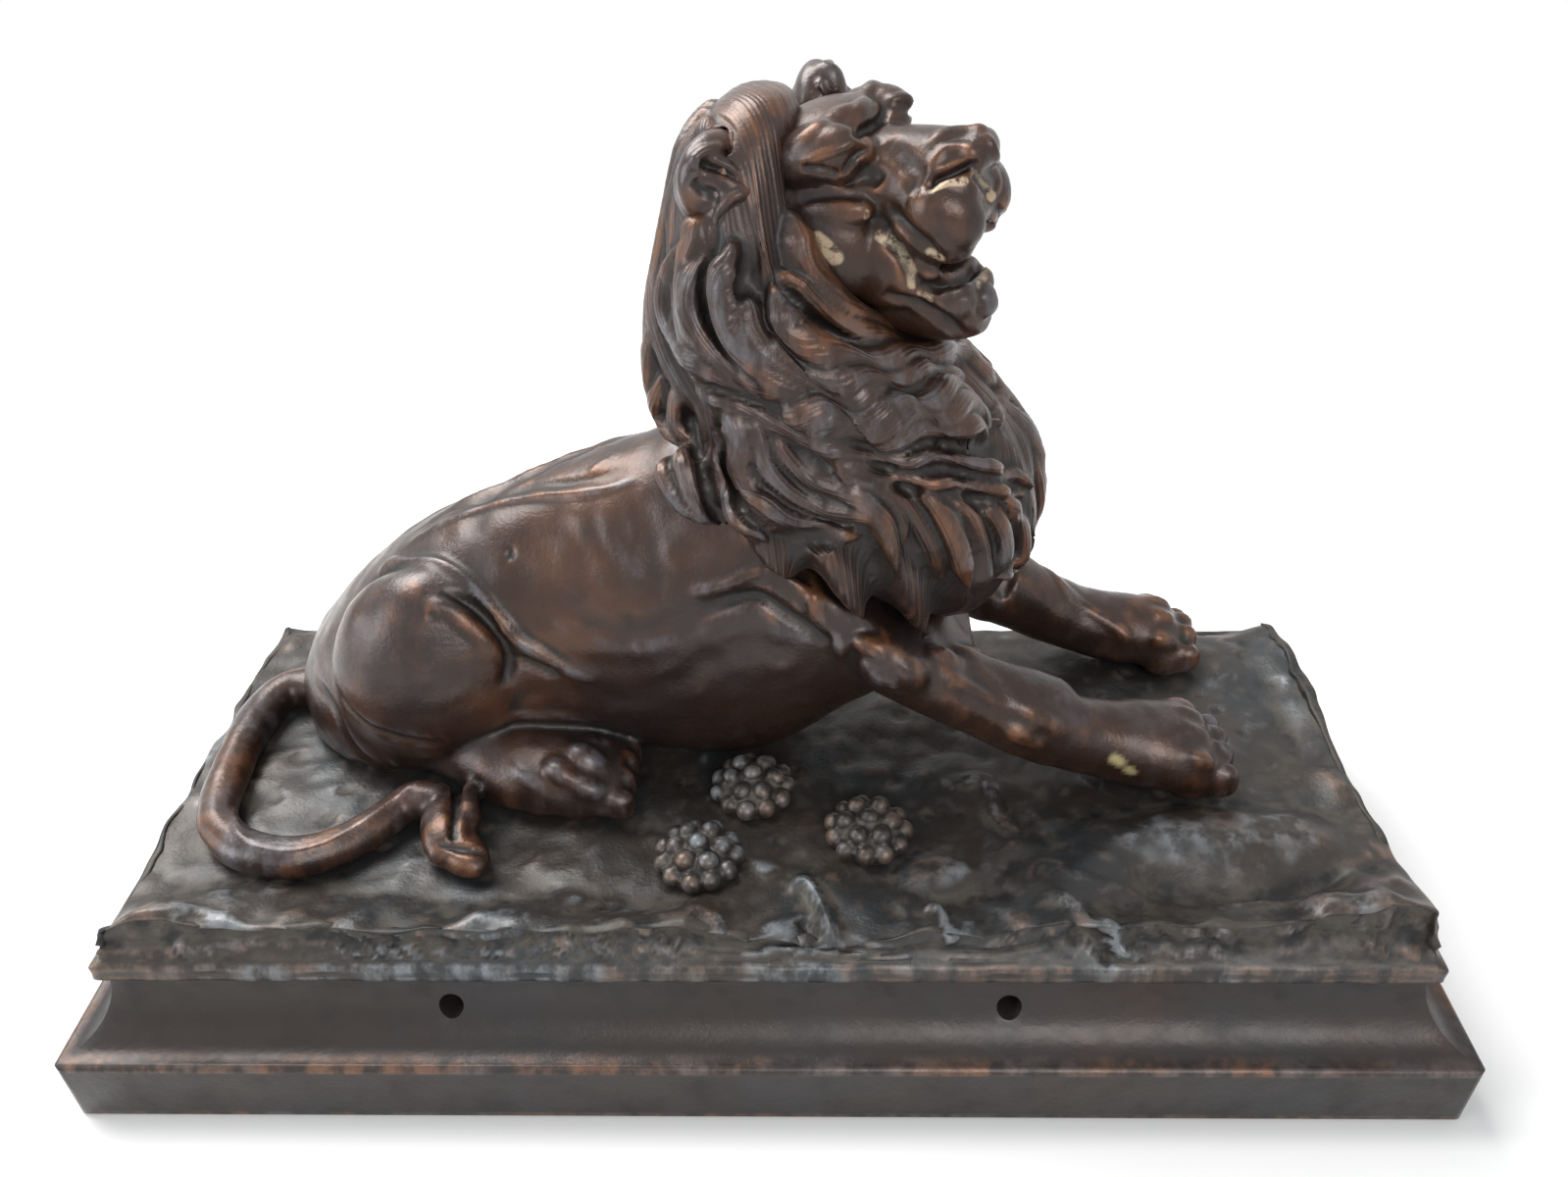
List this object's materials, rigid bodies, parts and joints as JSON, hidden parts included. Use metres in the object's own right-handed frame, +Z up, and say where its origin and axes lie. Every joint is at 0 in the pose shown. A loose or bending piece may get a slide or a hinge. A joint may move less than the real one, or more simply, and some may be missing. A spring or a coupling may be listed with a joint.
{
  "type": "lion figure ornament",
  "caption": "Resting lion with a full mane on a rocky terrace with berry clusters, bolted to a moulded rectangular plinth with two small holes in the front.",
  "frame": {"origin": "middle of the plinth's foot, on the surface that it stands on", "axes": "+X the way the lion lies, along the plinth; +Y towards the lion's far side; +Z up"},
  "size_m": [0.16, 0.072, 0.1045],
  "materials": {
    "lion_patina": "dark brown patinated bronze, rubbed to copper brown on the high places",
    "rock_patina": "grey-black patinated bronze with pale dust in the recesses",
    "plinth_patina": "smooth dark patinated bronze with copper-coloured worn edges",
    "dowel_brass": "plain brass rod",
    "fixing_steel": "dull steel"
  },
  "bodies": {
    "root": {"plinth": "plinth_patina", "terrace": "rock_patina", "berry_clusters": "rock_patina", "lion_body": "lion_patina", "lion_mane": "lion_patina", "lion_head": "lion_patina", "near_foreleg": "lion_patina", "far_foreleg": "lion_patina", "near_hind_foot": "lion_patina", "far_hind_foot": "lion_patina", "tail": "lion_patina", "neck_rod": "dowel_brass", "foreleg_dowels": "dowel_brass", "hind_foot_dowels": "dowel_brass", "tail_dowel": "dowel_brass", "figure_studs": "fixing_steel", "figure_washers": "fixing_steel", "figure_nuts": "fixing_steel", "terrace_screws": "fixing_steel", "terrace_screw_washers": "fixing_steel"}
  },
  "joints": []
}
